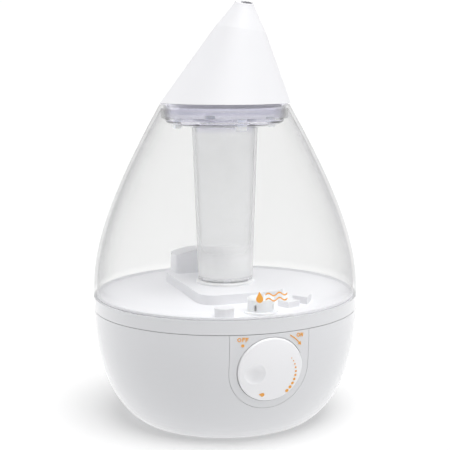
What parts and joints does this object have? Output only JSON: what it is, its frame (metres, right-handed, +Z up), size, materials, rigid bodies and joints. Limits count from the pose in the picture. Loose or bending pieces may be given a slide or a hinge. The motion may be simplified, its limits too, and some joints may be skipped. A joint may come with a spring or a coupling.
{
  "type": "cool mist humidifier",
  "caption": "Drop-shaped ultrasonic cool mist humidifier: white bowl base with knob, clear lift-off water tank with mist tube, and a turning cone nozzle.",
  "frame": {"origin": "on the floor under the centre of the base", "axes": "+Z up, the knob and panel face -Y, +X is to the right seen from the front"},
  "size_m": [0.216, 0.2171, 0.3388],
  "materials": {
    "white_gloss": "gloss",
    "white_knob": "gloss",
    "white_cap": "gloss",
    "white_inner": "satin",
    "white_satin": "satin",
    "clear_tank": "clear gloss",
    "clear_tube": "clear gloss",
    "clear_dish": "clear gloss",
    "frosted": "frosted",
    "orange_print": "satin",
    "black_plastic": "matte",
    "grey_plastic": "satin",
    "rubber_dark": "matte",
    "silicone": "satin",
    "steel": "satin",
    "brass": "satin",
    "fins": "satin",
    "board_green": "satin",
    "tape_yellow": "satin",
    "magnet": "satin"
  },
  "bodies": {
    "base": {"base_shell": "white_gloss", "control_panel": "white_gloss", "panel_marks": "orange_print", "basin_pool": "white_satin", "basin_deck": "white_satin", "air_chimney": "white_satin", "float_cap": "white_satin", "base_plate": "white_satin", "rubber_feet": "rubber_dark", "base_screws": "steel", "transducer_disc": "steel", "transducer_gasket": "silicone", "transducer_retainer": "brass", "driver_board": "board_green", "board_parts": "black_plastic", "board_screws": "steel", "heat_sink": "fins", "power_module": "tape_yellow", "potentiometer": "grey_plastic", "pot_nut": "steel", "fan_frame": "black_plastic", "fan_screws": "steel", "fan_duct": "white_satin", "cord_gland": "silicone", "reed_switch": "grey_plastic"},
    "knob": {"knob": "white_knob", "knob_marks": "orange_print", "knob_shaft": "steel"},
    "rotor": {"fan_rotor": "black_plastic"},
    "float": {"float_ring": "silicone", "float_magnet": "magnet"},
    "tank": {"tank_shell": "clear_tank", "tank_collar": "white_gloss", "tank_floor": "white_inner", "tank_island": "white_inner", "tube_baffle": "white_inner", "tank_motif": "orange_print", "tank_seal": "white_inner", "mist_tube": "clear_tube", "tube_foot": "silicone", "valve_cup": "frosted", "tank_magnet": "magnet", "valve_spring": "steel"},
    "valve": {"valve_plunger": "white_satin", "valve_disc": "rubber_dark"},
    "lid": {"neck_dish": "clear_dish", "dish_pads": "frosted", "lid_seal": "clear_dish"},
    "nozzle": {"mist_cap": "white_cap"}
  },
  "joints": [
    {"name": "knob_turn", "type": "hinge", "parent": "base", "child": "knob", "pos_m": [0, -0.1058, 0.0625], "axis": [0, -0.9871, -0.1599], "range_deg": [-270, 0]},
    {"name": "fan_spin", "type": "hinge", "parent": "base", "child": "rotor", "pos_m": [0, 0.03, 0.017], "axis": [0, 0, 1], "continuous": true},
    {"name": "float_rise", "type": "slide", "parent": "base", "child": "float", "axis": [0, 0, 1], "range_m": [0, 0.009]},
    {"name": "tank_lift", "type": "slide", "parent": "base", "child": "tank", "axis": [0, 0, 1], "range_m": [0, 0.06]},
    {"name": "valve_stroke", "type": "slide", "parent": "tank", "child": "valve", "axis": [0, 0, 1], "range_m": [-0.0025, 0], "deforming": ["valve_spring"]},
    {"name": "lid_lift", "type": "slide", "parent": "tank", "child": "lid", "axis": [0, 0, 1], "range_m": [0, 0.04]},
    {"name": "nozzle_turn", "type": "hinge", "parent": "lid", "child": "nozzle", "pos_m": [0, 0, 0.2574], "axis": [0, 0, 1], "continuous": true}
  ],
  "couplings": [
    {"joint": "valve_stroke", "follows": "tank_lift", "ratio": -0.0416}
  ]
}
